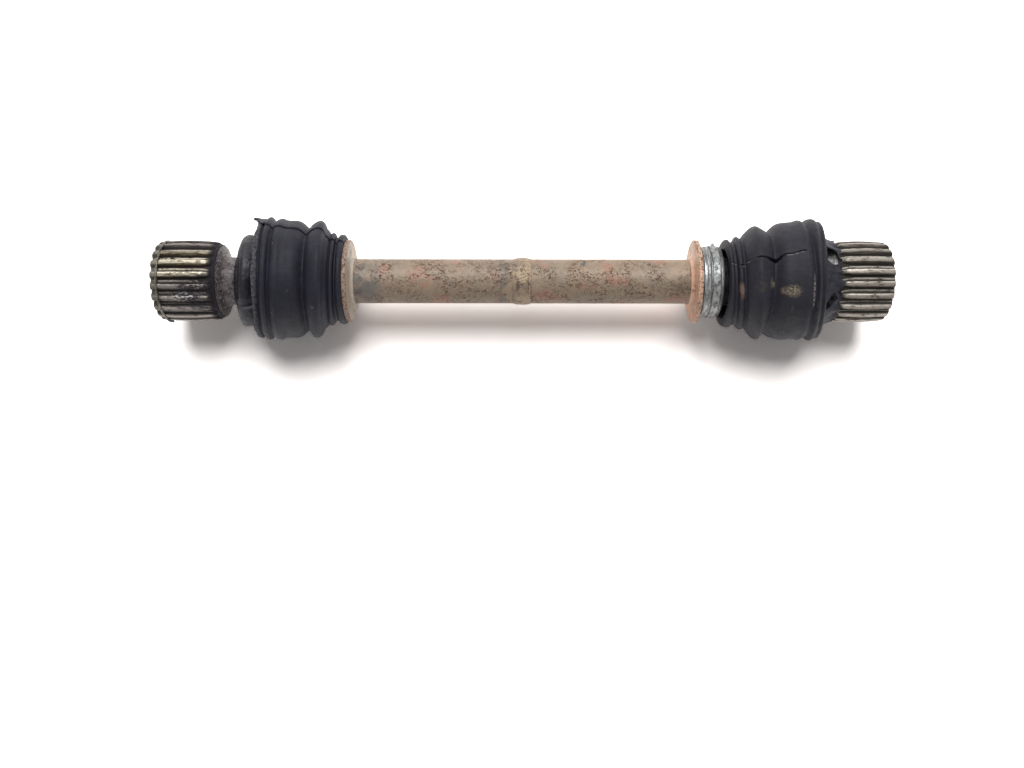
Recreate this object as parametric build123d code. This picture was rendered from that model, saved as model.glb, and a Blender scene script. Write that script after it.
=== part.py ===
"""A drive shaft with a crowned, splined hub at each end, and a rubber boot and an inner seal behind each hub.

Two turned half shafts are joined by a weld at mid length. Each has a plain bar, a flange, a grooved collar, a
neck and a hub with barrel-crowned spline teeth. The left boot still sits on its collar, and its open lip is
torn. The right boot has slid off its collar towards the hub. The left hub keeps its wire snap ring.

The shaft lies along X with its middle at the origin and +Z up. The boots are soft, so each has a small flat
spot where it rests on the ground. Lengths are in millimetres and angles in degrees. Distances along the shaft
are measured outwards from the middle, so each end is drawn at +X and what belongs to the left end is mirrored.
An angle round the shaft is measured from +Z towards -Y.
"""

import os
from math import radians, tan

from build123d import *

# Bar and centre weld
BAR_DIAMETER = 35.4
WELD_WIDTH = 14.8
WELD_CAP_WIDTH = 8.9
WELD_HEIGHT = 1.0
WELD_DEPTH = 5.0

# Flange and collar, the same on both halves
FLANGE_DIAMETER = 66.0
FLANGE_THICKNESS = 3.3
FLANGE_FACE = 136.6
FLANGE_FOOT_LENGTH = 2.6
FLANGE_FOOT_HEIGHT = 1.8
COLLAR_DIAMETER = 55.8
COLLAR_LENGTH = 17.2
COLLAR_CHAMFER = 1.2
GROOVE_WIDTH = 1.0
GROOVE_DEPTH = 0.8
GROOVE_PLACES = (1.0, 7.4)
NECK_DIAMETER = 38.2

# Hub and its spline
HUB_END = 289.0
LEFT_HUB_LENGTH = 48.4
RIGHT_HUB_LENGTH = 41.6
TEETH = 20
TIP_DIAMETER = 64.4
TOOTH_DEPTH = 3.2
TIP_LAND = 3.7
FLANK_ANGLE = 22.0
TIP_CROWN = 1.2
FLANK_CROWN = 0.35
TOOTH_CORNER = 1.2
INNER_CHAMFER = 3.4
OUTER_CHAMFER = 1.6
BACK_CONE_ANGLE = 62.0
TOOTH_SEAT = 1.0
BACK_LAND_WIDTH = 1.6
LEFT_TOOTH_ANGLE = 2.5
RIGHT_TOOTH_ANGLE = -3.0
CENTRE_DRILL_DIAMETER = 5.0
CENTRE_DRILL_DEPTH = 12.0
CENTRE_CONE_DIAMETER = 12.5
CENTRE_CONE_ANGLE = 60.0

# Snap ring on the left hub
RING_WIRE = 1.8
RING_FROM_END = 6.0
RING_SIDE_CLEARANCE = 0.2
RING_DEPTH = 2.1
RING_START = 127.0
RING_ARC = 335.0
RING_TAIL = 8.0

# Band clamp left on the right collar
BAND_THICKNESS = 0.7
BAND_WIDTH = 5.6
BAND_OVERLAP_FROM = 190.0
BAND_OVERLAP = 50.0
BAND_TAB_ANGLE = -80.0
BAND_TAB_HEIGHT = 3.2
BAND_TAB_WIDTH = 3.0
BAND_LUG_ANGLE = 102.0
BAND_LUG_HEIGHT = 1.4
BAND_LUG_WIDTH = 4.0

# Boots: places along a relaxed boot, from the end of its cuff
BOOT_WALL = 2.8
CUFF_LENGTH = 13.0
CUFF_BEAD_RADIUS = 35.1
CUFF_BEAD_END = 6.6
CUFF_VALLEY_RADIUS = 31.7
CUFF_VALLEY_AT = 9.4
FOLD_RADIUS = 45.8
FOLD_AT = 25.0
FOLD_CREST = 4.4
FOLD_VALLEY_RADIUS = 40.0
FOLD_VALLEY_AT = 33.0
BARREL_RADIUS = 47.2
BARREL_AT = 39.5
MOUTH_BEAD_RADIUS = 48.3
MOUTH_BEAD_AT = 70.5
MOUTH_BEAD_WIDTH = 6.0
LEFT_MOUTH = 210.3
RIGHT_MOUTH = 237.2
LEFT_SQUEEZE = 0.87
RIGHT_SQUEEZE = 0.91
RIGHT_STRETCH = 8.5
RIGHT_BOOT_SLIP = 0.4
FLAT_SPOT_DEPTH = 0.8

# Damage on the boots: each tear is an angle, a half width and a depth
LIP_TEARS = ((-52, 7, 2.6), (18, 8, 2.2), (104, 9, 2.4), (222, 8, 2.0))
FLAP_FROM = -92.0
FLAP_ARC = 14.0
FLAP_LENGTH = 7.5
FLAP_LIFT = 1.6
FLAP_TEAR = (-79, 8, 7.5)
CRACK_ANGLE = -10.0
CRACK_WIDTH = 0.8
CRACK_FROM = 26.0
CRACK_TO = 63.0
CRACK_HOLE_AT = 40.0
CRACK_HOLE_LENGTH = 8.0
CRACK_HOLE_WIDTH = 3.4

# Inner seals: each tear is an angle and a width
SEAL_WALL = 2.4
LEFT_SEAL_RADIUS = 36.8
LEFT_SEAL_CREST_AT = 221.0
LEFT_SEAL_FOOT_AT = 229.2
SEAL_FOOT_WIDTH = 2.6
RIGHT_SEAL_TEARS = ((-28, 15.0), (40, 9.0))

BAR_RADIUS = BAR_DIAMETER / 2
FLANGE_RADIUS = FLANGE_DIAMETER / 2
COLLAR_RADIUS = COLLAR_DIAMETER / 2
NECK_RADIUS = NECK_DIAMETER / 2
TIP_RADIUS = TIP_DIAMETER / 2
RING_RADIUS = TIP_RADIUS - RING_DEPTH
ROOT_RADIUS = TIP_RADIUS - TOOTH_DEPTH
MOUTH_RADIUS = BARREL_RADIUS - BOOT_WALL
FLANGE_BACK = FLANGE_FACE + FLANGE_THICKNESS
COLLAR_END = FLANGE_BACK + COLLAR_LENGTH
GROUND = FLAT_SPOT_DEPTH - MOUTH_BEAD_RADIUS
PAST = 5.0


def turned(outline, arc=360.0):
    """The solid swept by an outline, drawn as distance along the shaft and radius, as it turns round X."""
    return revolve(make_face(outline), Axis.X, arc)


def closed(stations, squeeze=1.0, start=0.0):
    """A closed outline through stations of place and radius, squeezed along the shaft from a start."""
    return Polyline(*[(start + place * squeeze, radius) for place, radius in stations], close=True)


def from_y(shape, angle):
    """Turn what is drawn at +Y to an angle round the shaft."""
    return Rot(X=angle + 90) * shape


def tube(start, end, inner, outer):
    """A straight sleeve along X."""
    return turned(closed([(start, inner), (end, inner), (end, outer), (start, outer)]))


def back_cone(hub_length):
    """Where the cone behind a hub meets the neck, and where the land behind the teeth begins."""
    land = HUB_END - hub_length - BACK_LAND_WIDTH
    foot = land - (ROOT_RADIUS - NECK_RADIUS) / tan(radians(BACK_CONE_ANGLE))
    return foot, land


def shaft_blank(hub_length):
    """The turned half shaft: bar, flange, collar, neck, the cone behind the hub and the hub's root."""
    foot, land = back_cone(hub_length)
    half = turned(
        closed(
            [
                (0, 0),
                (0, BAR_RADIUS - WELD_DEPTH),
                (WELD_WIDTH / 2, BAR_RADIUS - WELD_DEPTH),
                (WELD_WIDTH / 2, BAR_RADIUS),
                (FLANGE_FACE - FLANGE_FOOT_LENGTH, BAR_RADIUS),
                (FLANGE_FACE, BAR_RADIUS + FLANGE_FOOT_HEIGHT),
                (FLANGE_FACE, FLANGE_RADIUS),
                (FLANGE_BACK, FLANGE_RADIUS),
                (FLANGE_BACK, COLLAR_RADIUS),
                (COLLAR_END - COLLAR_CHAMFER, COLLAR_RADIUS),
                (COLLAR_END, COLLAR_RADIUS - COLLAR_CHAMFER),
                (COLLAR_END, NECK_RADIUS),
                (foot, NECK_RADIUS),
                (land, ROOT_RADIUS),
                (HUB_END, ROOT_RADIUS),
                (HUB_END, 0),
            ]
        )
    )
    for place in GROOVE_PLACES:
        groove = FLANGE_BACK + place
        half -= tube(groove, groove + GROOVE_WIDTH, COLLAR_RADIUS - GROOVE_DEPTH, COLLAR_RADIUS + GROOVE_DEPTH)
    return half - centre_drill()


def crowned(start, end, side, crown):
    """The stations of a crowned edge: level along its middle third and falling away to both ends."""
    third = (end - start) / 3
    return [(start, side - crown), (start + third, side), (end - third, side), (end, side - crown)]


def tooth(start):
    """One spline tooth on +Z, crowned along its tip and flanks, with its inner corners chamfered."""
    base = ROOT_RADIUS - TOOTH_SEAT
    slope = tan(radians(FLANK_ANGLE))
    half = TIP_LAND / 2 + (TIP_RADIUS - base) * slope
    inner, outer = start - TOOTH_SEAT * slope, HUB_END + TOOTH_SEAT * slope
    flank = crowned(inner + TOOTH_CORNER, outer - TOOTH_CORNER, half, FLANK_CROWN)
    tip = half - FLANK_CROWN - TOOTH_CORNER
    side = [(inner, tip), *flank, (outer, tip)]
    other = [(place, -width) for place, width in reversed(side)]
    plan = Pos(Z=base) * make_face(closed(other[::-1] + side[::-1]))
    body = extrude(plan, TIP_RADIUS - base, taper=FLANK_ANGLE)
    crown = crowned(start + INNER_CHAMFER, HUB_END - OUTER_CHAMFER, TIP_RADIUS, TIP_CROWN)
    low = TIP_RADIUS - TIP_CROWN
    ends = [(HUB_END, low - OUTER_CHAMFER), (HUB_END, base), (start, base), (start, low - INNER_CHAMFER)]
    profile = Plane.XZ * make_face(closed(crown + ends))
    return body & extrude(profile, 2 * half, both=True)


def centre_drill():
    """The lathe centre in a hub's end face: a pilot hole and a cone."""
    pilot, mouth = CENTRE_DRILL_DIAMETER / 2, CENTRE_CONE_DIAMETER / 2
    cone_depth = (mouth - pilot) / tan(radians(CENTRE_CONE_ANGLE / 2))
    bottom = HUB_END - CENTRE_DRILL_DEPTH
    return turned(closed([(bottom, 0), (bottom, pilot), (HUB_END - cone_depth, pilot), (HUB_END, mouth), (HUB_END, 0)]))


def half_shaft(hub_length, tooth_angle):
    """A half shaft with the teeth on its hub."""
    one = tooth(HUB_END - hub_length)
    teeth = [Rot(X=tooth_angle + turn * 360 / TEETH) * one for turn in range(TEETH)]
    return shaft_blank(hub_length).fuse(*teeth)


def snap_ring():
    """The open ring of square wire in the left hub's groove, with one end sprung out over the teeth."""
    place = HUB_END - RING_FROM_END
    section = Pos(place, RING_RADIUS + RING_WIRE / 2) * Rectangle(RING_WIRE, RING_WIRE)
    hoop = revolve(section, Axis.X, RING_ARC)
    tail = extrude(section, RING_TAIL, dir=(0, 0, 1))
    return from_y(hoop, RING_START) + from_y(tail, RING_START + RING_ARC)


def ring_groove():
    """What is turned out of the left hub's teeth to take the snap ring."""
    place, half = HUB_END - RING_FROM_END, RING_WIRE / 2 + RING_SIDE_CLEARANCE
    return tube(place - half, place + half, RING_RADIUS, TIP_RADIUS + PAST)


def weld():
    """The weld between the half shafts: it fills their turned-down ends and stands proud in a raised cap."""
    side, cap = WELD_WIDTH / 2, WELD_CAP_WIDTH / 2
    bottom, top = BAR_RADIUS - WELD_DEPTH, BAR_RADIUS + WELD_HEIGHT
    return turned(
        closed([(-side, bottom), (side, bottom), (side, BAR_RADIUS), (cap, top), (-cap, top), (-side, BAR_RADIUS)])
    )


def clamp_band():
    """The thin band left on the right collar, with overlapping ends, a torn tab and a small lug."""
    start = FLANGE_BACK + GROOVE_PLACES[1] + GROOVE_WIDTH
    end = start + BAND_WIDTH
    outside = COLLAR_RADIUS + BAND_THICKNESS
    overlap = turned(
        Polyline(
            (start, outside - BAND_THICKNESS / 2),
            (end, outside - BAND_THICKNESS / 2),
            (end, outside + BAND_THICKNESS),
            (start, outside + BAND_THICKNESS),
            close=True,
        ),
        BAND_OVERLAP,
    )
    tab = Pos((start + end) / 2, outside + BAND_TAB_HEIGHT / 2) * Box(
        BAND_TAB_WIDTH, BAND_TAB_HEIGHT + BAND_THICKNESS, BAND_THICKNESS
    )
    lug = Pos((start + end) / 2, outside + BAND_LUG_HEIGHT / 2) * Box(
        BAND_WIDTH, BAND_LUG_HEIGHT + BAND_THICKNESS, BAND_LUG_WIDTH
    )
    return (
        tube(start, end, COLLAR_RADIUS, outside)
        + from_y(overlap, BAND_OVERLAP_FROM)
        + from_y(tab, BAND_TAB_ANGLE)
        + from_y(lug, BAND_LUG_ANGLE)
    )


def boot(start, squeeze, end, stretch=0.0):
    """A hollow boot from its cuff, which begins at a place along the shaft, to the end of its mouth.

    It is squeezed along the shaft after being stretched between its cuff and its fold. Its inside is kept plainer
    than its outside.
    """
    mouth = (end - start) / squeeze
    fold, valley, barrel = (place + stretch for place in (FOLD_AT, FOLD_VALLEY_AT, BARREL_AT))
    outside = [
        (0, CUFF_BEAD_RADIUS),
        (CUFF_BEAD_END, CUFF_BEAD_RADIUS),
        (CUFF_VALLEY_AT, CUFF_VALLEY_RADIUS),
        (fold - FOLD_CREST / 2, FOLD_RADIUS),
        (fold + FOLD_CREST / 2, FOLD_RADIUS),
        (valley, FOLD_VALLEY_RADIUS),
        (barrel, BARREL_RADIUS),
        (mouth, BARREL_RADIUS),
    ]
    inside = [
        (mouth, MOUTH_RADIUS),
        (barrel, MOUTH_RADIUS),
        (barrel, FOLD_VALLEY_RADIUS - BOOT_WALL),
        (fold - FOLD_CREST / 2, FOLD_VALLEY_RADIUS - BOOT_WALL),
        (CUFF_LENGTH, COLLAR_RADIUS),
        (0, COLLAR_RADIUS),
    ]
    bead, half = start + (MOUTH_BEAD_AT + stretch) * squeeze, MOUTH_BEAD_WIDTH * squeeze / 2
    shell = turned(closed(outside + inside, squeeze, start))
    return shell + tube(bead - half, bead + half, MOUTH_RADIUS, MOUTH_BEAD_RADIUS)


def flattened(shape):
    """What is left above the ground of a soft piece that stands on it."""
    return split(shape, Plane.XY.offset(GROUND), keep=Keep.TOP)


def wedge(end, angle, width, depth, inner, outer):
    """A V cut into the end of a sleeve, between two radii, at an angle round the shaft."""
    plan = make_face(Polyline((end - depth, 0), (end + PAST, width), (end + PAST, -width), close=True))
    return from_y(Rot(X=-90) * Pos(Z=inner) * extrude(plan, outer - inner), angle)


def left_boot():
    """The boot on its collar, with the torn edge of its lip and a loose flap of it."""
    shape = boot(FLANGE_BACK, LEFT_SQUEEZE, LEFT_MOUTH)
    root, tip = LEFT_MOUTH - FLAP_LENGTH, LEFT_MOUTH + FLAP_LENGTH
    inner, outer = MOUTH_RADIUS + FLAP_LIFT, BARREL_RADIUS + FLAP_LIFT
    flap = turned(closed([(root, inner), (tip, inner), (tip, outer), (root, outer)]), FLAP_ARC)
    inner, outer = MOUTH_RADIUS - BOOT_WALL, BARREL_RADIUS + BOOT_WALL
    shape += from_y(flap, FLAP_FROM) - wedge(tip, *FLAP_TEAR, inner, outer)
    for angle, width, depth in LIP_TEARS:
        shape -= wedge(LEFT_MOUTH, angle, width, depth, inner, outer)
    return flattened(shape)


def right_boot():
    """The boot that slid off its collar, with a crack along its folds that has opened at one place."""
    start = COLLAR_END + RIGHT_BOOT_SLIP
    shape = boot(start, RIGHT_SQUEEZE, RIGHT_MOUTH, RIGHT_STRETCH)
    inner, outer = FOLD_VALLEY_RADIUS - 2 * BOOT_WALL, MOUTH_BEAD_RADIUS + PAST
    height, middle = outer - inner, (outer + inner) / 2
    crack = Pos(start + (CRACK_FROM + CRACK_TO) / 2, middle) * Box(CRACK_TO - CRACK_FROM, height, CRACK_WIDTH)
    length, width = CRACK_HOLE_LENGTH / 2, CRACK_HOLE_WIDTH / 2
    hole = make_face(Polyline((-length, 0), (0, width), (length, 0), (0, -width), close=True))
    hole = Pos(start + CRACK_HOLE_AT, inner) * Rot(X=-90) * extrude(hole, height)
    return flattened(shape - from_y(crack + hole, CRACK_ANGLE))


def seal(line):
    """A thin rubber seal that follows a line drawn along its outside."""
    return turned(offset(line, SEAL_WALL, kind=Kind.INTERSECTION, side=Side.RIGHT))


def left_seal():
    """The seal round the left neck: it bulges out of the boot's mouth and closes on the neck."""
    start = FLANGE_BACK + MOUTH_BEAD_AT * LEFT_SQUEEZE
    foot = NECK_RADIUS + SEAL_WALL
    return seal(
        Polyline(
            (start, MOUTH_RADIUS),
            (start, LEFT_SEAL_RADIUS),
            (LEFT_SEAL_CREST_AT, LEFT_SEAL_RADIUS),
            (LEFT_SEAL_FOOT_AT, foot),
            (LEFT_SEAL_FOOT_AT + SEAL_FOOT_WIDTH, foot),
        )
    )


def right_seal():
    """The seal pushed against the right hub: a cone that ends on the hub's land, torn in two places."""
    start = COLLAR_END + RIGHT_BOOT_SLIP + (MOUTH_BEAD_AT + RIGHT_STRETCH) * RIGHT_SQUEEZE
    _, land = back_cone(RIGHT_HUB_LENGTH)
    foot = ROOT_RADIUS + SEAL_WALL
    shape = seal(Polyline((start, MOUTH_RADIUS), (land, foot), (land + BACK_LAND_WIDTH, foot)))
    for angle, width in RIGHT_SEAL_TEARS:
        hole = Pos(land, ROOT_RADIUS) * Rot(X=-90) * Cylinder(width / 2, COLLAR_DIAMETER / 2)
        shape -= from_y(hole, angle)
    return shape


def nodes():
    """Every piece by its name, each in its place."""
    left_half = half_shaft(LEFT_HUB_LENGTH, LEFT_TOOTH_ANGLE) - ring_groove()
    return {
        "left_half_shaft": left_half.mirror(Plane.YZ),
        "right_half_shaft": half_shaft(RIGHT_HUB_LENGTH, RIGHT_TOOTH_ANGLE),
        "centre_weld": weld(),
        "snap_ring": snap_ring().mirror(Plane.YZ),
        "clamp_band": clamp_band(),
        "left_boot": left_boot().mirror(Plane.YZ),
        "right_boot": right_boot(),
        "left_seal": left_seal().mirror(Plane.YZ),
        "right_seal": right_seal(),
    }


os.makedirs("parts", exist_ok=True)
for name, shape in nodes().items():
    export_step(shape, f"parts/{name}.step")
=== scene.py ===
"""Looks of a used drive shaft with crowned splined hubs, torn rubber boots and black inner seals.

Sizes are in millimetres until a mesh is made. A place on the shaft is a distance from its middle, a radius
and an angle round it, measured from +Z towards -Y. side is -1 on the left half and 1 on the right half.
"""

from math import atan2, cos, exp, hypot, pi, radians, sin, tan

import bmesh
import bpy
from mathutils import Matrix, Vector, noise


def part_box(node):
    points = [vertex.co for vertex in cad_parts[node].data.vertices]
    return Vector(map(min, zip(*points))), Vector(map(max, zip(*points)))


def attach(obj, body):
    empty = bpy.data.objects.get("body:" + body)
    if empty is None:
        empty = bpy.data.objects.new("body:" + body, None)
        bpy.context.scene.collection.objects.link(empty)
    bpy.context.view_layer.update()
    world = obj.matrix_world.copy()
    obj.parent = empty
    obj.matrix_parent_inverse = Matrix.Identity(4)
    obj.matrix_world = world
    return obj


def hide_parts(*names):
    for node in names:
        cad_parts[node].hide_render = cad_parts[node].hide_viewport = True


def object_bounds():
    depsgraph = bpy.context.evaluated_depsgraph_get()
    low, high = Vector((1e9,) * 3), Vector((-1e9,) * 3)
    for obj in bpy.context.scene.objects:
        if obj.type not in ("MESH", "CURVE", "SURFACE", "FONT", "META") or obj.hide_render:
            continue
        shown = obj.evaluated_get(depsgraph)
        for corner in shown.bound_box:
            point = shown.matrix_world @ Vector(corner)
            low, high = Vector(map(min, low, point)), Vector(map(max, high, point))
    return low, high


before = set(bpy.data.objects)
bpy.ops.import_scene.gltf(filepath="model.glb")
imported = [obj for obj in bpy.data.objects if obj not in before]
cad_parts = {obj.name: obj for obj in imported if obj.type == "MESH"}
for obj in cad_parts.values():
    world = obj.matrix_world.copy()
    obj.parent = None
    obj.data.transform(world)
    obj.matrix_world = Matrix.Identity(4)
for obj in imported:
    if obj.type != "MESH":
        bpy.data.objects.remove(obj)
cad_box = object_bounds()

# Without a seed, the noise that roughens the teeth changes from run to run
noise.seed_set(7)

MM = 0.001
LEFT, RIGHT = -1, 1

# Sizes read from the frame
HUB_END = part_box("right_half_shaft")[1][0] / MM
FLANGE_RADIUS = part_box("right_half_shaft")[1][1] / MM
GROUND = cad_box[0][2] / MM
WELD_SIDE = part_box("centre_weld")[1][0] / MM
WELD_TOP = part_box("centre_weld")[1][1] / MM
RING_AT = -(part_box("snap_ring")[0][0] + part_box("snap_ring")[1][0]) / 2 / MM

# Sizes of the turned halves
BAR_RADIUS = 17.7
WELD_DEPTH = 5.0
FLANGE_FACE = 135.9
FLANGE_BACK = 139.9
COLLAR_RADIUS = 27.9
COLLAR_END = 157.1
NECK_RADIUS = 19.1
ROOT_RADIUS = 29.0
TIP_RADIUS = 32.2
HUB_LENGTH = {LEFT: 48.4, RIGHT: 41.6}
BACK_LAND = 1.6
BACK_CONE_ANGLE = {LEFT: 68.0, RIGHT: 46.0}
CENTRE_CONE_RADIUS = 6.25
CENTRE_CONE_DEPTH = 6.5

# The collar's profile: places behind the flange, each with its depth below the collar and its corner's size
COLLAR_PROFILE = (
    (0, 0.8, 0.2), (1.6, 0.8, 0.3), (2.0, 0, 0.3), (7.2, 0, 0.3), (7.6, 0.9, 0.3), (8.4, 0.9, 0.3),
    (8.8, 0, 0.3), (14.6, 0, 0.3), (15.0, 0.7, 0.2), (15.6, 0.7, 0.2), (16.0, 0, 0.2), (17.2, 0.6, 0.4),
)

# The spline's teeth
TEETH = 20
FIRST_TOOTH = {LEFT: 2.5, RIGHT: -3.0}
TIP_LAND = 3.7
FLANK_ANGLE = 22.0
TIP_CROWN = 1.2
INNER_CHAMFER = 3.4
OUTER_ROUND = 2.2
ROOT_ROUND = {LEFT: 3.4, RIGHT: 1.6}
ROOT_FALL = 0.9
TOOTH_EDGE = 0.55
TOOTH_SUNK = 0.6
TOOTH_ROUGH = 0.2
TOOTH_UNEVEN = 0.5
INNER_POINT = 6.0
OUTER_POINT = 2.6
# The width of the strip along each tooth's root, which is painted as lit.
ROOT_STRIP = 1.4
TEETH_SETTINGS = (
    ("Tooth", "Object"), ("Teeth", "Int"), ("First Angle", "Float"), ("Uneven", "Float"), ("Seed", "Int"),
    ("Finish", "Material"),
)
# How much painted highlight each point of a tooth's outline gets: its worn upper edge and the root strip
# above it.
TOOTH_WEAR_AND_HIGHLIGHT = [0, 0, 0, 0, 0.05, 0.15, 0.3, 0.5, 0.9, 1, 0.4, 0, 0, 0.35, 1, 0]

# The snap ring's wire
WIRE_RADIUS = 1.0
RING_RADIUS = 31.4
RING_START = 127.0
RING_ARC = 335.0
RING_TAIL = 3.6

# Where the torn band stands up
SPUR_ANGLE = -79
LUMP_ANGLE = 102

# The camera, from the vanishing point and the size of the photographed shaft
FOCAL_PIXELS = 970.0
IMAGE_WIDTH = 1024
SENSOR_WIDTH = 36.0
CAMERA_PLACE = (-4.9, -167.4, 765.9)
CAMERA_LEAN = (6.29, 0.2, 0.13)


# Places and outlines


def at(distance, radius, angle, side):
    """A point in metres from its distance along the shaft, its radius and its angle in radians."""
    return Vector((side * distance, -radius * sin(angle), radius * cos(angle))) * MM


def smooth(points, steps=4):
    """A line that runs smoothly through points."""
    ends = [points[0], *points, points[-1]]
    line = []
    for four in zip(ends, ends[1:], ends[2:], ends[3:]):
        for step in range(steps):
            line.append(tuple(curve(step / steps, *numbers) for numbers in zip(*four)))
    return line + [points[-1]]


def curve(t, a, b, c, d):
    """A number on the smooth curve from b to c, with a before it and d after it."""
    return 0.5 * (2 * b + (c - a) * t + (2 * a - 5 * b + 4 * c - d) * t**2 + (3 * b - a - 3 * c + d) * t**3)


def softened(stations, steps=3):
    """An outline of place, radius and corner size, with each corner eased."""
    line = []
    for index, (place, radius, ease) in enumerate(stations):
        if not ease:
            line.append((place, radius))
            continue
        corner = Vector((place, radius))
        before = (Vector(stations[index - 1][:2]) - corner).normalized() * ease
        after = (Vector(stations[index + 1][:2]) - corner).normalized() * ease
        for step in range(steps + 1):
            t = step / steps
            line.append(tuple(corner + before * (1 - t) ** 2 + after * t**2))
    return line


def between(value, table):
    """An amount, or several, read off a table of places, with smooth steps."""
    if value <= table[0][0]:
        return table[0][1]
    for (start, low), (end, high) in zip(table, table[1:]):
        if value <= end:
            share = ease(value, start, end)
            if isinstance(low, tuple):
                return tuple(a + (b - a) * share for a, b in zip(low, high))
            return low + (high - low) * share
    return table[-1][1]


def ease(value, low, high):
    """0 below low, 1 above high and smooth between."""
    t = min(max((value - low) / (high - low), 0), 1)
    return t * t * (3 - 2 * t)


def bell(value, width, power=2):
    """1 at 0, falling smoothly on both sides to almost nothing past a width."""
    return exp(-((value / width) ** power))


def turn_from(angle, centre):
    """An angle from a centre, in degrees between -180 and 180."""
    return (angle - centre + 180) % 360 - 180


def rough(point, size, seed=0):
    """Smooth noise between about -1 and 1, at a place in metres."""
    return noise.noise(Vector(point) * (1 / (size * MM)) + Vector((seed * 7.3, seed * 3.1, seed * 5.7)))


def angles_round(step, busy=(), fine=0.22, reach=5.0):
    """Angles round the shaft in degrees, closer together near the busy ones."""
    angles, angle = [], 0.0
    while angle < 360:
        angles.append(angle)
        near = any(abs(turn_from(angle, centre)) < reach for centre in busy)
        angle += fine if near else step
    return angles


# Meshes


def placed(name, data):
    """A new object in the scene, for a mesh, a lamp or a camera."""
    piece = bpy.data.objects.new(name, data)
    bpy.context.collection.objects.link(piece)
    return piece


def mesh_from(name, points, faces):
    """A mesh from its points, in metres, and its faces."""
    mesh = bpy.data.meshes.new(name)
    mesh.from_pydata(points, [], faces)
    return mesh


def finished(name, mesh, materials, sharp=38):
    """A finished object from a mesh, with its normals pointing outwards and its sharp edges kept."""
    made = bmesh.new()
    made.from_mesh(mesh)
    bmesh.ops.remove_doubles(made, verts=made.verts, dist=0.002 * MM)
    bmesh.ops.recalc_face_normals(made, faces=made.faces)
    made.to_mesh(mesh)
    made.free()
    for material in materials:
        mesh.materials.append(material)
    return placed(name, shaded(mesh, sharp))


def shaded(mesh, sharp):
    """A mesh shaded smoothly up to an angle in degrees between its faces."""
    for polygon in mesh.polygons:
        polygon.use_smooth = True
    mesh.set_sharp_from_angle(angle=radians(sharp))
    return mesh


def evaluated(piece):
    """A piece's mesh with its modifiers made part of it."""
    bpy.context.view_layer.update()
    mesh = bpy.data.meshes.new_from_object(piece.evaluated_get(bpy.context.evaluated_depsgraph_get()))
    piece.modifiers.clear()
    return mesh


def thickened(piece, thickness):
    """A thin piece given a wall on its inside, in millimetres."""
    wall = piece.modifiers.new("wall", "SOLIDIFY")
    wall.thickness = thickness * MM
    wall.offset = -1
    piece.data = evaluated(piece)
    return piece


def bar_faces(rows, count):
    """The faces of a closed bar that has rows of count points each, with its two ends."""
    faces = []
    for row in range(rows - 1):
        here, there = row * count, (row + 1) * count
        for step in range(count):
            after = (step + 1) % count
            faces.append((here + step, here + after, there + after, there + step))
    return faces + [tuple(range(count)), tuple(range((rows - 1) * count, rows * count))]


def marked(mesh, stations, wears_and_highlights):
    """Keep each point's unbent place along X, in metres, and its wear, which also marks painted highlights,
    for the finishes to use.
    """
    for name, values in (("station", stations), ("wear", wears_and_highlights)):
        mesh.attributes.new(name, "FLOAT", "POINT").data.foreach_set("value", values)
    return mesh


def turned(name, outline, side, angles, form, materials, sharp=38, shut=True, pick=None, gap=None):
    """A piece swept by an outline round the shaft.

    form moves each point and may give its wear, which also marks painted highlights, pick gives a face its
    material and gap leaves faces out.
    """
    points, stations, wears_and_highlights = [], [], []
    for distance, radius in outline:
        for angle in angles:
            place, *moved = form(distance, radius, radians(angle))
            points.append(at(place, *moved[:2], side))
            stations.append(side * distance * MM)
            wears_and_highlights.append(moved[2] if len(moved) > 2 else 0.0)
    faces, owners = [], []
    count, rings = len(angles), len(outline)
    for ring in range(rings if shut else rings - 1):
        here, there = ring * count, (ring + 1) % rings * count
        for step in range(count):
            if gap and gap(outline[ring][0], angles[step]):
                continue
            after = (step + 1) % count
            faces.append((here + step, here + after, there + after, there + step))
            owners.append(ring)
    mesh = mesh_from(name, points, faces)
    if pick:
        for ring, polygon in zip(owners, mesh.polygons):
            polygon.material_index = pick(*outline[ring])
    return finished(name, marked(mesh, stations, wears_and_highlights), materials, sharp)


def skin(name, line, side, angles, form, material, gap=None):
    """A seal that follows a line round the shaft, with holes where gap says so."""
    piece = turned(name, line, side, angles, form, [material], 60, False, None, gap)
    return thickened(piece, SEAL_WALL[side])


def joined(name, parts):
    """One object made of several, which keeps the first one's place in the list."""
    for part in parts:
        part.select_set(True)
    bpy.context.view_layer.objects.active = parts[0]
    with bpy.context.temp_override(active_object=parts[0], selected_editable_objects=parts, object=parts[0]):
        bpy.ops.object.join()
    parts[0].select_set(False)
    parts[0].name = name
    return parts[0]


def kept(piece, slot_name, *nodes):
    """Give a piece its body and hide the CAD nodes that it stands for. slot_name is not used."""
    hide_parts(*nodes)
    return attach(piece, "root")


# Finishes


def shade(red, green, left_disc_shade):
    """A colour as the eye sees it, 0 to 255, in the renderer's own units."""
    parts = [value / 255 for value in (red, green, left_disc_shade)]
    return (*[p / 12.92 if p <= 0.04045 else ((p + 0.055) / 1.055) ** 2.4 for p in parts], 1.0)


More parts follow.
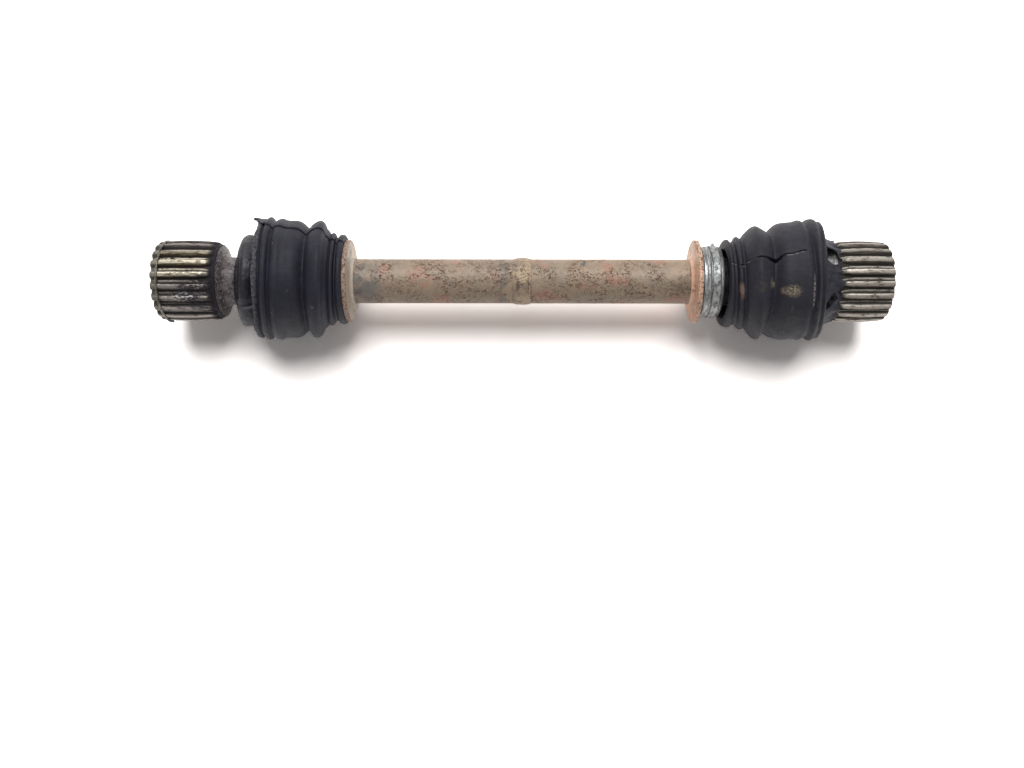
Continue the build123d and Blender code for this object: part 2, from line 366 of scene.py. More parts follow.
class Nodes:
    """A node tree. Each method adds one step and returns its result."""

    def __init__(self, tree):
        self.tree = tree

    def node(self, kind, *values, **settings):
        """Add a node, with its first inputs in order and its settings by name."""
        made = self.tree.nodes.new(kind if "Node" in kind else "ShaderNode" + kind)
        for name, setting in settings.items():
            setattr(made, name, setting)
        self.set(made, dict(enumerate(values)))
        return made

    def set(self, node, values):
        """Set inputs of a node, each to a number or colour, or link them to a result."""
        for name, value in values.items():
            if isinstance(value, bpy.types.NodeSocket):
                self.tree.links.new(value, node.inputs[name])
            else:
                node.inputs[name].default_value = value

    def sum(self, kind, *values):
        """One sum, such as ADD or SUBTRACT."""
        return self.node("Math", *values, operation=kind).outputs[0]

    def both(self, *masks):
        """What several masks share, or a mask made weaker by a number."""
        result = masks[0]
        for mask in masks[1:]:
            result = self.sum("MULTIPLY", result, mask)
        return result

    def either(self, *masks):
        """What any of several masks covers."""
        result = masks[0]
        for mask in masks[1:]:
            result = self.sum("MAXIMUM", result, mask)
        return result

    def blend(self, mask, under, over):
        """Go from one number to another where a mask is 1."""
        node = self.node("Mix", mask)
        self.set(node, {2: under, 3: over})
        return node.outputs[0]

    def mix(self, mask, under, over):
        """Lay a colour over another where a mask is 1. A colour of three numbers runs from 0 to 255."""
        node = self.node("Mix", mask, data_type="RGBA")
        for pin, colour in ((6, under), (7, over)):
            seen = isinstance(colour, tuple) and len(colour) == 3
            self.set(node, {pin: shade(*colour) if seen else colour})
        return node.outputs[2]


class Finish(Nodes):
    """A node material, measured in the frame."""

    def __init__(self, name, metallic=0.0, roughness=0.5, specular=0.5):
        self.material = bpy.data.materials.new(name)
        self.material.use_nodes = True
        super().__init__(self.material.node_tree)
        self.shader = self.tree.nodes["Principled BSDF"]
        self.set(self.shader, {"Metallic": metallic, "Roughness": roughness, "Specular IOR Level": specular})
        self.place = self.straight = self.node("TexCoord").outputs["Object"]
        self.x, self.y, self.z = self.node("SeparateXYZ", self.place).outputs
        self.colour = None

    def kept_value(self, name):
        """A value that the mesh keeps for each point."""
        return self.node("Attribute", attribute_name=name).outputs["Fac"]

    def unbend(self):
        """Measure along X as it was before the rubber was bent."""
        self.x = self.kept_value("station")
        self.straight = self.node("CombineXYZ", self.x, self.y, self.z).outputs[0]

    def radius(self):
        """The distance from the shaft's axis."""
        return self.sum("SQRT", self.sum("ADD", self.both(self.y, self.y), self.both(self.z, self.z)))

    def grain(self, size, detail=3.0, roughness=0.55, seed=0.0, warp=0.0, stretch=(1, 1, 1)):
        """Cloudy noise with a grain size in millimetres."""
        moved = self.node("Mapping", self.place, (seed, seed * 0.37, seed * 0.71), (0, 0, 0), stretch)
        noisy = self.node("TexNoise", moved.outputs[0])
        scale = 1 / (size * MM)
        self.set(noisy, {"Scale": scale, "Detail": detail, "Roughness": roughness, "Distortion": warp})
        return noisy.outputs["Fac"]

    def over(self, value, low, high):
        """A mask that rises from 0 to 1 as a value goes from low to high, or falls if low is larger."""
        start, end = (0.0, 1.0) if low < high else (1.0, 0.0)
        values = (value, min(low, high), max(low, high), start, end)
        return self.node("MapRange", *values, interpolation_type="SMOOTHSTEP").outputs["Result"]

    def spots(self, size, low, high, *settings, **more):
        """A mask of cloudy spots, where a grain of this size goes from low to high."""
        return self.over(self.grain(size, *settings, **more), low, high)

    def along(self, low, high, edge=1.0):
        """A mask between two distances along X, in millimetres, with soft edges."""
        start = self.over(self.x, (low - edge) * MM, (low + edge) * MM)
        return self.both(start, self.over(self.x, (high + edge) * MM, (high - edge) * MM))

    def near(self, side, distance, radius, angle, reach, fade=0.5, stretch=1.0):
        """A mask round a place on the shaft: 1 inside a reach in millimetres and 0 past it.

        stretch makes the mask that many times longer round the shaft than along it.
        """
        centre = at(distance, radius, radians(angle), side)
        apart = self.node("VectorMath", self.straight, centre, operation="SUBTRACT").outputs[0]
        scaled = self.node("VectorMath", apart, (stretch, 1, 1), operation="MULTIPLY").outputs[0]
        length = self.node("VectorMath", scaled, operation="LENGTH").outputs["Value"]
        return self.over(length, reach * MM, reach * fade * MM)

    def lay(self, mask, tint, strength=None):
        """Lay a tint over the colour where a mask is 1, at full strength or less."""
        self.colour = self.mix(mask if strength is None else self.both(mask, strength), self.colour, tint)

    def done(self, roughness, bump, depth, metallic=None):
        """Join the results to the shader. depth is the bump's height in millimetres."""
        raised = self.node("Bump")
        self.set(raised, {"Distance": depth * MM, "Height": bump})
        normal = raised.outputs[0]
        self.set(self.shader, {"Base Color": self.colour, "Roughness": roughness, "Normal": normal})
        if metallic is not None:
            self.set(self.shader, {"Metallic": metallic})
        return self.material


def bar_finish(name, side):
    """Bare bar: warm grey, with pink patches and clusters of curly brown rust specks, and painted shade on
    the bar next to each disc, bluish grey on the left and brown on the right.
    """
    f = Finish(name, metallic=0.1, roughness=0.5)
    f.colour = f.mix(f.spots(26, 0.4, 0.62, 4, 0.6, 3.1), (152, 132, 112), (141, 127, 111))
    mottle = f.spots(5, 0.36, 0.66, 5, 0.7, 1.1)
    f.lay(mottle, (168, 148, 126), 0.55)
    pink = f.spots(19, 0.52, 0.64, 3, 0.6, 8.3, stretch=(0.8, 1, 1))
    f.lay(pink, (172, 122, 104), 0.55)
    clusters = f.spots(17, 0.38, 0.56, 3, 0.6, 5.7, stretch=(0.8, 1, 1))
    fine = f.spots(2.2, 0.53, 0.59, 5, 0.74, 1.9, 1.2, stretch=(0.8, 1, 1))
    curls = f.spots(4.2, 0.58, 0.63, 4, 0.7, 4.9, 2.2, stretch=(0.9, 1, 1))
    rust = f.both(clusters, f.either(fine, curls))
    stray = f.both(f.spots(2.0, 0.63, 0.67, 4, 0.72, 9.4), 0.8)
    rust = f.either(rust, stray)
    f.lay(rust, (112, 78, 56), 0.85)
    pits = f.both(rust, f.spots(1.6, 0.55, 0.66, 3, 0.7, 7.9))
    f.lay(pits, (64, 46, 36), 0.7)
    if side == LEFT:
        # Painted shade where the bar meets the left disc, in bluish grey.
        left_disc_shade = f.both(f.near(LEFT, 128, 17.7, 20, 26, 0.2), f.spots(12, 0.3, 0.56, 3, 0.6, 2.2))
        f.lay(left_disc_shade, (94, 96, 98), 0.8)
        band = f.both(f.along(-18, -11, 2), f.spots(9, 0.3, 0.5, 2, 0.5, 6.1))
        f.lay(band, (104, 98, 92), 0.6)
    else:
        # Painted shade where the bar meets the right disc.
        shadow = f.both(f.near(RIGHT, 128, 17.7, 30, 14, 0.2), f.spots(9, 0.3, 0.5))
        f.lay(shadow, (108, 96, 82), 0.6)
        chip = f.near(RIGHT, 48, 17.7, -38, 2.6, 0.7)
        f.lay(chip, (98, 108, 104), 0.8)
    roughness = f.blend(rust, f.blend(f.grain(6), 0.42, 0.62), 0.85)
    height = f.sum("SUBTRACT", f.both(f.grain(1.4, 4, 0.7), 0.6), f.sum("ADD", f.both(rust, 0.5), pits))
    return f.done(roughness, height, 0.3)


def flange_finish(name, side):
    """The thin disc: cream grey on the left and pink tan on the right, with a rusty, speckled rim."""
    f = Finish(name, metallic=0.15, roughness=0.55)
    under = (200, 184, 164) if side == LEFT else (228, 182, 154)
    over = (180, 170, 158) if side == LEFT else (205, 170, 144)
    f.colour = f.mix(f.spots(16, 0.4, 0.62, 3, 0.6, 4.4), under, over)
    rim = f.over(f.radius(), (FLANGE_RADIUS - 2.2) * MM, (FLANGE_RADIUS - 0.6) * MM)
    if side == LEFT:
        f.lay(rim, (150, 120, 106), 0.8)
    specks = f.spots(1.8, 0.5, 0.6, 4, 0.7, 7.7)
    clusters = f.spots(11, 0.5, 0.66, 2, 0.6, 9.1)
    rust = f.both(specks, f.either(clusters, rim))
    f.lay(rust, (112, 76, 52), 0.85)
    return f.done(f.blend(rust, 0.5, 0.8), f.sum("SUBTRACT", f.grain(1.1), rust), 0.3)


def collar_finish(name):
    """Bright zinc grey, with fine lines round it, stains and dark specks."""
    f = Finish(name, metallic=0.75, roughness=0.42)
    lines = f.grain(0.9, 2, 0.5, 1.3, stretch=(1, 0.05, 0.05))
    f.colour = f.mix(f.over(lines, 0.42, 0.6), (156, 158, 158), (84, 86, 86))
    stains = f.spots(3.4, 0.46, 0.62, 5, 0.75, 3.9, stretch=(1, 0.6, 0.6))
    f.lay(stains, (92, 90, 87), 0.6)
    specks = f.spots(1.3, 0.6, 0.68, 3, 0.7, 5.2)
    f.lay(specks, (78, 70, 62))
    roughness = f.blend(stains, f.blend(lines, 0.32, 0.5), 0.65)
    return f.done(roughness, f.sum("SUBTRACT", lines, specks), 0.18)


def neck_finish(name, side):
    """The neck and the cone behind the hub: greasy purple grey, and on the right pale bare steel, painted
    pale also as light where it shows through the torn seal, with painted near-black shade where the neck runs
    into the boot.
    """
    f = Finish(name, metallic=0.1, roughness=0.42)
    f.colour = f.mix(f.spots(6, 0.36, 0.62, 4, 0.7, 2.4), (66, 58, 62), (122, 112, 112))
    crumbs = f.spots(1.7, 0.54, 0.62, 4, 0.75, 6.6, 0.8)
    f.lay(crumbs, (204, 194, 194), 0.8)
    pits = f.spots(2.2, 0.54, 0.64, 3, 0.7, 8.8)
    f.lay(pits, (34, 28, 32))
    if side == RIGHT:
        # Bare steel on the right cone, painted pale also as painted light where it shows through the torn
        # seal.
        pale = f.mix(f.spots(5, 0.4, 0.6, 3, 0.6, 1.2), (150, 150, 152), (220, 220, 222))
        f.lay(f.over(f.x, 231 * MM, 234 * MM), pale)
        # Painted shade: near-black on the right neck where it runs into the boot.
        f.lay(f.over(f.x, 178 * MM, 172 * MM), (10, 10, 12))
    height = f.sum("ADD", f.grain(2.6, 4, 0.7), f.both(crumbs, 0.5))
    return f.done(f.blend(pits, f.blend(f.grain(3), 0.25, 0.55), 0.6), height, 1.1)


def hub_finish(name, side):
    """Spline steel: brass and oily on the left, dry warm grey on the right, with dark valleys and painted
    highlights on the teeth's worn edges. On the left, painted light and shade make the rows that face the
    light brighter and brass-yellow and the rest darker, painted glints streak the teeth, and their inner ends
    are painted near-black, partly as grease and partly as shade.
    """
    f = Finish(name, metallic=0.6, roughness=0.4, specular=0.25)
    inside = f.over(f.sum("ABSOLUTE", f.x), (HUB_END - 0.1) * MM, (HUB_END - 0.5) * MM)
    valley = f.both(inside, f.over(f.radius(), (TIP_RADIUS - 0.9) * MM, (ROOT_RADIUS + 0.7) * MM))
    streaks = f.grain(1.6, 3, 0.6, 2.7, stretch=(0.12, 1, 1))
    lines = f.over(streaks, 0.38, 0.66)
    worn = f.both(f.kept_value("wear"), f.spots(2.6, 0.34, 0.5, 3, 0.7, 6.2, stretch=(0.3, 1, 1)))
    patchy = f.spots(9, 0.46, 0.64, 3, 0.6, 5.5)
    if side == LEFT:
        # Painted light and shade: the rows of teeth that face the light get the brighter, brass-yellow
        # colours, and the rest get the darker ones.
        painted_lit_rows = f.both(f.over(f.y, -7 * MM, -4 * MM), f.over(f.y, 21 * MM, 15 * MM))
        oily = f.mix(lines, (66, 58, 43), (118, 108, 84))
        dull = f.mix(lines, (38, 34, 33), (76, 70, 68))
        f.colour = f.mix(painted_lit_rows, dull, oily)
        f.lay(patchy, (72, 62, 56), 0.6)
        f.lay(valley, (24, 18, 15), 0.94)
        # Painted highlights on the teeth's worn edges and root strips, brighter on the rows painted as lit.
        f.lay(worn, f.mix(painted_lit_rows, (168, 160, 154), (230, 221, 200)))
        stain = (48, 38, 32)
    else:
        f.colour = f.mix(lines, (60, 56, 50), (98, 93, 85))
        f.lay(patchy, (84, 70, 62), 0.6)
        f.lay(valley, (32, 28, 23), 0.94)
        # Painted highlights on the teeth's worn edges and root strips.
        f.lay(worn, (192, 185, 174))
        stain = (66, 56, 48)
    specks = f.spots(1.6, 0.58, 0.66, 4, 0.7, 7.1, stretch=(0.7, 1, 1))
    f.lay(specks, stain, 0.7)
    roughness = f.blend(valley, f.blend(streaks, 0.32, 0.52), 0.65)
    metallic = f.blend(valley, 0.6, 0.1)
    if side == LEFT:
        ends = f.over(f.x, -281.5 * MM, -283.5 * MM)
        f.lay(ends, (94, 93, 82), 0.7)
        clumps = f.spots(3.4, 0.4, 0.54, 5, 0.7, 3.3, stretch=(0.6, 1, 1))
        grease = f.both(f.near(LEFT, 249, 31, 27, 24, 0.35), clumps)
        thin = f.spots(3, 0.5, 0.58, 5, 0.75, 5.3, stretch=(0.6, 1, 1))
        wide = f.both(f.near(LEFT, 262, 31, 30, 26, 0.3), thin)
        # Near-black over the teeth's inner ends and the land behind them: partly grease, partly painted shade
        # under the seal.
        behind = f.over(f.x, -247 * MM, -242 * MM)
        grease = f.either(grease, f.both(wide, 0.8), behind)
        f.lay(grease, (24, 20, 26))
        # Painted glints: small streaks of reflected light.
        glints = f.spots(1.3, 0.54, 0.6, 3, 0.7, 8.1, stretch=(0.4, 1, 1))
        glints = f.both(f.near(LEFT, 262, 32, 35, 6, 0.4, 0.35), glints)
        f.lay(glints, (214, 210, 214), 0.75)
        roughness = f.blend(grease, roughness, f.blend(behind, 0.35, 0.75))
        metallic = f.blend(grease, metallic, 0.0)
    height = f.sum("SUBTRACT", streaks, f.both(specks, 0.7))
    return f.done(roughness, height, 0.22, metallic)


def weld_finish(name):
    """Weld metal, much like the bar, with a dark smear and a thin dark line."""
    f = Finish(name, metallic=0.2, roughness=0.5)
    f.colour = f.mix(f.spots(8, 0.4, 0.62, 4, 0.65, 2.9), (168, 146, 120), (138, 122, 106))
    specks = f.spots(2.2, 0.55, 0.62, 4, 0.7, 3.8, 1.0)
    f.lay(specks, (98, 72, 56), 0.75)
    smear = f.near(LEFT, 3.4, 18, 22, 8, 0.15, 3.2)
    line = f.both(f.along(4.6, 5.2, 0.35), f.near(RIGHT, 4.8, 18, 22, 10, 0.5))
    f.lay(f.either(smear, line), (62, 50, 44), 0.8)
    return f.done(f.blend(specks, 0.48, 0.78), f.sum("SUBTRACT", f.grain(1.4, 4, 0.7), specks), 0.3)


def wire_finish(name):
    """Oily spring wire."""
    f = Finish(name, metallic=0.7, roughness=0.4)
    f.colour = f.mix(f.spots(4, 0.4, 0.6), (104, 99, 92), (62, 57, 52))
    return f.done(f.blend(f.grain(2), 0.25, 0.45), f.grain(0.8), 0.08)


def band_finish(name):
    """Dull plated strip, stained."""
    f = Finish(name, metallic=0.7, roughness=0.45)
    f.colour = f.mix(f.spots(3, 0.42, 0.62, 5, 0.75, stretch=(1, 0.6, 0.6)), (150, 152, 152), (84, 85, 83))
    specks = f.spots(1.4, 0.58, 0.66, 3, 0.7, 4.2)
    f.lay(specks, (84, 72, 60))
    return f.done(f.blend(specks, 0.4, 0.7), f.sum("SUBTRACT", f.grain(1.0), specks), 0.15)


def rubber(name, wear, dark=(19, 20, 30), pale=(29, 30, 41)):
    """The start of a worn black rubber: its finish and a mask of its scuffs and painted highlights."""
    f = Finish(name, roughness=0.6, specular=0.25)
    f.unbend()
    cloud = f.spots(22, 0.38, 0.64, 3, 0.6, 3.7)
    f.colour = f.mix(cloud, dark, pale)
    scuffs = f.both(f.spots(2.2, 0.6, 0.7, 4, 0.75, 6.9), f.spots(16, 0.42, 0.6))
    f.lay(scuffs, (110, 108, 112), wear)
    # The kept wear paints pale highlights along the right boot's crack and slits.
    worn = f.kept_value("wear")
    broken = f.spots(3.0, 0.36, 0.52, 4, 0.7, 5.1)
    f.lay(f.both(worn, broken), (126, 123, 121))
    return f, f.either(scuffs, worn)


def rubber_done(f, scuffs):
    """Finish a rubber with its fine grain."""
    uneven = f.blend(f.grain(7, 3, 0.6), 0.48, 0.7)
    height = f.sum("ADD", f.grain(1.1, 3, 0.6), f.both(f.grain(6, 3, 0.6), 1.4))
    return f.done(f.blend(scuffs, uneven, 0.8), height, 0.22)


def left_boot_finish(name):
    """Left boot: bluish black, with a greyed, crumbling lip."""
    f, scuffs = rubber(name, 0.3)
    crumbs = f.spots(2.2, 0.36, 0.62, 4, 0.75, 1.7)
    lip = f.both(f.over(f.x, -205.6 * MM, -206.6 * MM), crumbs)
    f.lay(lip, (112, 110, 114), 0.62)
    broken = f.spots(1.5, 0.5, 0.6, 4, 0.75, 2.1)
    marks = [(193.5, 43, 5, 2.5), (181.5, 22, 2, 1), (167.5, 21, 3.6, 2), (166, 39, 3.4, 1)]
    marks += [(195, -24, 2, 5 / 3)]
    for distance, angle, reach, stretch in marks:
        mark = f.both(f.near(LEFT, distance, 47, angle, reach, 0.4, stretch), broken)
        f.lay(mark, (136, 134, 138), 0.8)
    return rubber_done(f, f.either(scuffs, lip))


def right_boot_finish(name):
    """Right boot: black, a little dusty, with dried mud, a speckled yellow patch and a painted highlight
    along the mouth bead's edge.
    """
    f, scuffs = rubber(name, 0.3, (23, 23, 31), (35, 35, 44))
    broken = f.spots(1.5, 0.47, 0.57, 4, 0.78, 2.1)
    hazy = f.spots(4, 0.36, 0.62, 4, 0.65, 4.1)
    fine = f.spots(1.2, 0.4, 0.6, 3, 0.7, 7.7)
    mustard = f.mix(fine, (100, 90, 78), (172, 160, 138))
    dense = f.spots(1.6, 0.42, 0.5, 4, 0.8, 2.1)
    patches = (
        ((207.3, 47, 21.0, 6.4, 0.3, 0.75), dense, mustard, 0.85),
        ((199.5, 46, 21, 4.4, 0.3, 0.8), dense, (134, 114, 104), 0.75),
        ((172.3, 36.8, 23, 9.5, 0.2, 2.6), hazy, (128, 106, 96), 0.9),
        ((185.0, 45.5, 17, 6.5, 0.2), hazy, (88, 78, 68), 0.6),
        ((191.9, 41, 14, 6, 0.3, 3.5), hazy, (124, 112, 102), 0.8),
        ((209, 47, 53, 7, 0.3), hazy, (92, 88, 90), 0.6),
        ((205, 47, 70, 8, 0.3), hazy, (82, 80, 84), 0.6),
        ((208, 47, 39, 5, 0.3, 4.0), hazy, (108, 104, 102), 0.8),
        ((227.4, 47.5, 42, 15, 0.3, 9.0), hazy, (104, 92, 80), 0.8),
        # A thin, broken pale line round the mouth bead's edge: a painted highlight.
        ((223.3, 46.5, 22, 17, 0.5, 14.0), broken, (170, 162, 156), 0.8),
    )
    for place, grain, tint, strength in patches:
        mask = f.both(f.near(RIGHT, *place), grain)
        f.lay(mask, tint, strength)
        scuffs = f.either(scuffs, mask)
    return rubber_done(f, scuffs)


def left_seal_finish(name):
    """Left seal: greasy black, paler and matte on its upper side, which is painted light, and on its lower
    lobe.
    """
    f, scuffs = rubber(name, 0.2)
    cloud = f.spots(4, 0.34, 0.64, 4, 0.7)
    # Paler grey on the upper side, painted as lit, and on the lower lobe.
    lit_top_and_lower_lobe = f.either(f.over(f.y, 9 * MM, 17 * MM), f.over(f.y, -19 * MM, -21 * MM))
    pale = f.both(lit_top_and_lower_lobe, f.blend(cloud, 0.45, 1.0))
    f.lay(0.75, (24, 22, 30))
    f.lay(pale, (62, 62, 67))
    roughness = f.blend(pale, 0.22, 0.6)
    height = f.sum("ADD", f.grain(1.6, 4, 0.7), f.both(f.grain(6, 3, 0.6), 1.4))
    return f.done(f.blend(scuffs, roughness, 0.8), height, 0.3)


def right_seal_finish(name):
    """Right seal: dull black with grey scuffs."""
    f, scuffs = rubber(name, 0.4)
    f.lay(f.spots(5, 0.4, 0.66, 4, 0.7), (72, 72, 78), 0.5)
    return rubber_done(f, scuffs)


# The two half shafts


def body_outline(side):
    """Half of the turned body, from its end inside the weld to its end face, with eased corners."""
    land = HUB_END - HUB_LENGTH[side] - BACK_LAND
    foot = land - (ROOT_RADIUS - NECK_RADIUS) / tan(radians(BACK_CONE_ANGLE[side]))
    collar = [(FLANGE_BACK + place, COLLAR_RADIUS - depth, corner) for place, depth, corner in COLLAR_PROFILE]
    return softened(
        [
            (0, 0, 0),
            (0, BAR_RADIUS - WELD_DEPTH, 0),
            (WELD_SIDE, BAR_RADIUS - WELD_DEPTH, 0),
            (WELD_SIDE, BAR_RADIUS, 0.3),
            (FLANGE_FACE - 3.2, BAR_RADIUS, 1.8),
            (FLANGE_FACE - 0.2, BAR_RADIUS + 2.6, 1.6),
            (FLANGE_FACE + 0.2, FLANGE_RADIUS - 1.4, 0.8),
            (FLANGE_FACE + 1.0, FLANGE_RADIUS, 0.6),
            (FLANGE_BACK, FLANGE_RADIUS, 0.9),
            *collar,
            (COLLAR_END, NECK_RADIUS, 1.5),
            (foot, NECK_RADIUS, 3.0),
            (land, ROOT_RADIUS, 0.8),
            (HUB_END - ROOT_ROUND[side], ROOT_RADIUS, 0.8),
            (HUB_END, ROOT_RADIUS - ROOT_FALL * ROOT_ROUND[side], 0.5),
            (HUB_END, CENTRE_CONE_RADIUS, 0.2),
            (HUB_END - CENTRE_CONE_DEPTH, 0, 0),
        ]
    )


def body_part(distance, radius):
    """Which finish a place on the turned body has: bar, flange, collar, neck or hub."""
    if distance < FLANGE_BACK + 0.01 and radius > BAR_RADIUS + 0.5:
        return 1
    if distance < FLANGE_FACE:
        return 0
    if distance < COLLAR_END:
        return 2
    return 3 if radius < ROOT_RADIUS - 1.5 and distance < HUB_END - 20 else 4


def tooth_stations(side):
    """Places along a tooth, closer together at its ends."""
    start = HUB_END - HUB_LENGTH[side]
    inner = [start + INNER_CHAMFER * step / 5 for step in range(5)]
    first, last = start + INNER_CHAMFER, HUB_END - OUTER_ROUND
    middle = [first + (last - first) * step / 18 for step in range(18)]
    outer = [HUB_END - OUTER_ROUND + OUTER_ROUND * sin(radians(90 * step / 7)) for step in range(8)]
    return inner + middle + outer


def tooth_height(distance, side):
    """The radius of a tooth's tip at a place along it: crowned, chamfered inside and rounded outside."""
    start = HUB_END - HUB_LENGTH[side]
    middle, half = (start + HUB_END) / 2, HUB_LENGTH[side] / 2
    tip = TIP_RADIUS - TIP_CROWN * ((distance - middle) / half) ** 2
    inner = distance - start
    if inner < INNER_CHAMFER:
        tip -= (tip - ROOT_RADIUS + 0.2) * (1 - inner / INNER_CHAMFER) ** 1.3
    outer = HUB_END - distance
    if outer < OUTER_ROUND:
        tip -= OUTER_ROUND * (1 - (1 - (1 - outer / OUTER_ROUND) ** 2) ** 0.5)
    return tip


def tooth(side):
    """One tooth at +Z, with rounded tip edges and a strip along the root above it; its worn upper edge and
    that strip are marked for painted highlights.
    """
    slope = tan(radians(FLANK_ANGLE))
    points, wears_and_highlights = [], []
    stations = tooth_stations(side)
    for distance in stations:
        root = ROOT_RADIUS - ROOT_FALL * max(0, distance - HUB_END + ROOT_ROUND[side])
        sunk = root - TOOTH_SUNK
        tip = max(tooth_height(distance, side), sunk + 0.3)
        middle = (distance - (HUB_END - HUB_LENGTH[side] / 2)) / (HUB_LENGTH[side] / 2)
        inner = max(0, 1 - (distance - HUB_END + HUB_LENGTH[side]) / INNER_POINT)
        outer = max(0, 1 - (HUB_END - distance) / OUTER_POINT) ** 2
        drawn_in = 0.35 * middle**2 + 1.1 * inner + 0.7 * outer
        land = TIP_LAND / 2 + (TIP_RADIUS - tip) * slope - drawn_in
        foot = TIP_LAND / 2 + (TIP_RADIUS - sunk) * slope - drawn_in
        edge = min(TOOTH_EDGE, (tip - sunk) / 2)
        half = [
            (foot + 0.25, sunk),
            (foot - 0.12, sunk + (tip - sunk) * 0.25),
            ((foot + land) / 2 - 0.12, (sunk + tip) / 2),
            (land + edge * slope, tip - edge),
            (land - edge * 0.2, tip - edge * 0.3),
            (land - edge * 0.8, tip - 0.02),
            (land * 0.4, tip + 0.02),
        ]
        strip = [(foot + 0.1, root + 0.15), (foot + ROOT_STRIP, root + 0.12), (foot + ROOT_STRIP, sunk)]
        row = [(-across, up) for across, up in half] + half[:0:-1] + strip
        for across, up in row:
            spot = Vector((side * distance, across, up)) * MM
            points.append(spot + TOOTH_ROUGH * MM * noise.noise_vector(spot * 300))
        wears_and_highlights += TOOTH_WEAR_AND_HIGHLIGHT
    mesh = mesh_from("tooth", points, bar_faces(len(stations), len(row)))
    mesh.attributes.new("wear", "FLOAT", "POINT").data.foreach_set("value", wears_and_highlights)
    return finished("tooth", mesh, [], 50)


def ring_of_teeth_tree():
    """A tree that sets copies of one tooth round the shaft, a little unevenly, and makes one mesh of them."""
    tree = bpy.data.node_groups.new("ring of teeth", "GeometryNodeTree")
    names = {}
    for name, kind in TEETH_SETTINGS:
        made = tree.interface.new_socket(name=name, in_out="INPUT", socket_type=f"NodeSocket{kind}")
        names[name] = made.identifier
    tree.interface.new_socket(name="Geometry", in_out="OUTPUT", socket_type="NodeSocketGeometry")
    nodes = Nodes(tree)
    given = nodes.node("NodeGroupInput").outputs
    points = nodes.node("GeometryNodePoints", given["Teeth"]).outputs[0]
    one = nodes.node("GeometryNodeObjectInfo", given["Tooth"]).outputs["Geometry"]
    share = nodes.sum("DIVIDE", nodes.node("GeometryNodeInputIndex").outputs[0], given["Teeth"])
    turn = nodes.sum("MULTIPLY_ADD", share, 2 * pi, given["First Angle"])
    uneven = nodes.node("FunctionNodeRandomValue")
    low, high = [place for place, pin in enumerate(uneven.inputs) if pin.type == "VALUE"][:2]
    nodes.set(uneven, {low: 0, high: given["Uneven"], "Seed": given["Seed"]})
    extra = [pin for pin in uneven.outputs if pin.type == "VALUE"][0]
    about = nodes.node("CombineXYZ", nodes.sum("ADD", turn, extra)).outputs[0]
    copies = nodes.node("GeometryNodeInstanceOnPoints", points)
    nodes.set(copies, {"Instance": one, "Rotation": about})
    finish = nodes.node("GeometryNodeSetMaterial")
    real = nodes.node("GeometryNodeRealizeInstances", copies.outputs[0]).outputs[0]
    nodes.set(finish, {"Geometry": real, "Material": given["Finish"]})
    nodes.node("NodeGroupOutput", finish.outputs[0])
    return tree, names


def ring_of_teeth(side, tree, names, finish):
    """The hub's teeth as a plain mesh."""
    one = tooth(side)
    carrier = placed("teeth", bpy.data.meshes.new("teeth"))
    maker = carrier.modifiers.new("teeth", "NODES")
    maker.node_group = tree
    values = {
        "Tooth": one,
        "Teeth": TEETH,
        "First Angle": radians(FIRST_TOOTH[side]),
        "Uneven": radians(TOOTH_UNEVEN),
        "Seed": 7,
        "Finish": finish,
    }
    for name, value in values.items():
        maker[names[name]] = value
    mesh = evaluated(carrier)
    bpy.data.objects.remove(carrier)
    bpy.data.objects.remove(one)
    return mesh


def half_shaft(side, tree, names):
    """A half shaft: its turned body and its ring of teeth as one piece."""
    word = "left" if side == LEFT else "right"
    hub = hub_finish(f"{word}_hub_steel", side)
    finishes = [
        bar_finish(f"{word}_bar_steel", side),
        flange_finish(f"{word}_flange_steel", side),
        collar_finish(f"{word}_collar_steel"),
        neck_finish(f"{word}_neck_steel", side),
        hub,
    ]

    def form(distance, radius, angle):
        """Roughen the neck and the cone behind the hub."""
        if COLLAR_END + 3 < distance < HUB_END - HUB_LENGTH[side] + 1:
            spot = at(distance, radius, angle, side)
            radius += 0.5 * rough(spot, 5, 1) + 0.25 * rough(spot, 2, 2)
        return distance, radius, angle

    name, angles = f"{word}_body", angles_round(2.0)
    body = turned(name, body_outline(side), side, angles, form, finishes, shut=False, pick=body_part)
    teeth = ring_of_teeth(side, tree, names, hub)
    teeth.materials.clear()
    for finish in finishes:
        teeth.materials.append(finish)
    for polygon in teeth.polygons:
        polygon.material_index = len(finishes) - 1
    piece = joined(f"{word}_half", [body, placed(f"{word}_teeth", shaded(teeth, 50))])
    return kept(piece, f"{word}_steel", f"{word}_half_shaft")


def weld():
    """The weld bead: a low, rounded swelling with fine ripples across its middle."""
    swell = WELD_TOP - BAR_RADIUS
    outline = [(-WELD_SIDE, BAR_RADIUS - WELD_DEPTH)]
    for step in range(31):
        place = -WELD_SIDE + 2 * WELD_SIDE * step / 30
        share = 1 - (place / WELD_SIDE) ** 2
        outline.append((place, BAR_RADIUS + 0.05 + (swell - 0.1) * min(1, 1.35 * share)))
    outline.append((WELD_SIDE, BAR_RADIUS - WELD_DEPTH))

    def form(distance, radius, angle):
        """Ripple the cap and let it wander."""
        if radius > BAR_RADIUS:
            spot = at(distance, radius, angle, RIGHT)
            middle = bell(distance, 4)
            radius += 0.1 * sin(angle * 46 + distance * 0.9) * middle
            radius += 0.2 * rough(spot, 4, 3) * (0.3 + middle)
            radius = max(min(radius, WELD_TOP + 0.2), BAR_RADIUS - 0.1)
        return distance, radius, angle

    piece = turned("weld_bead", outline, RIGHT, angles_round(1.0), form, [weld_finish("weld_metal")])
    return kept(piece, "weld_steel", "centre_weld")


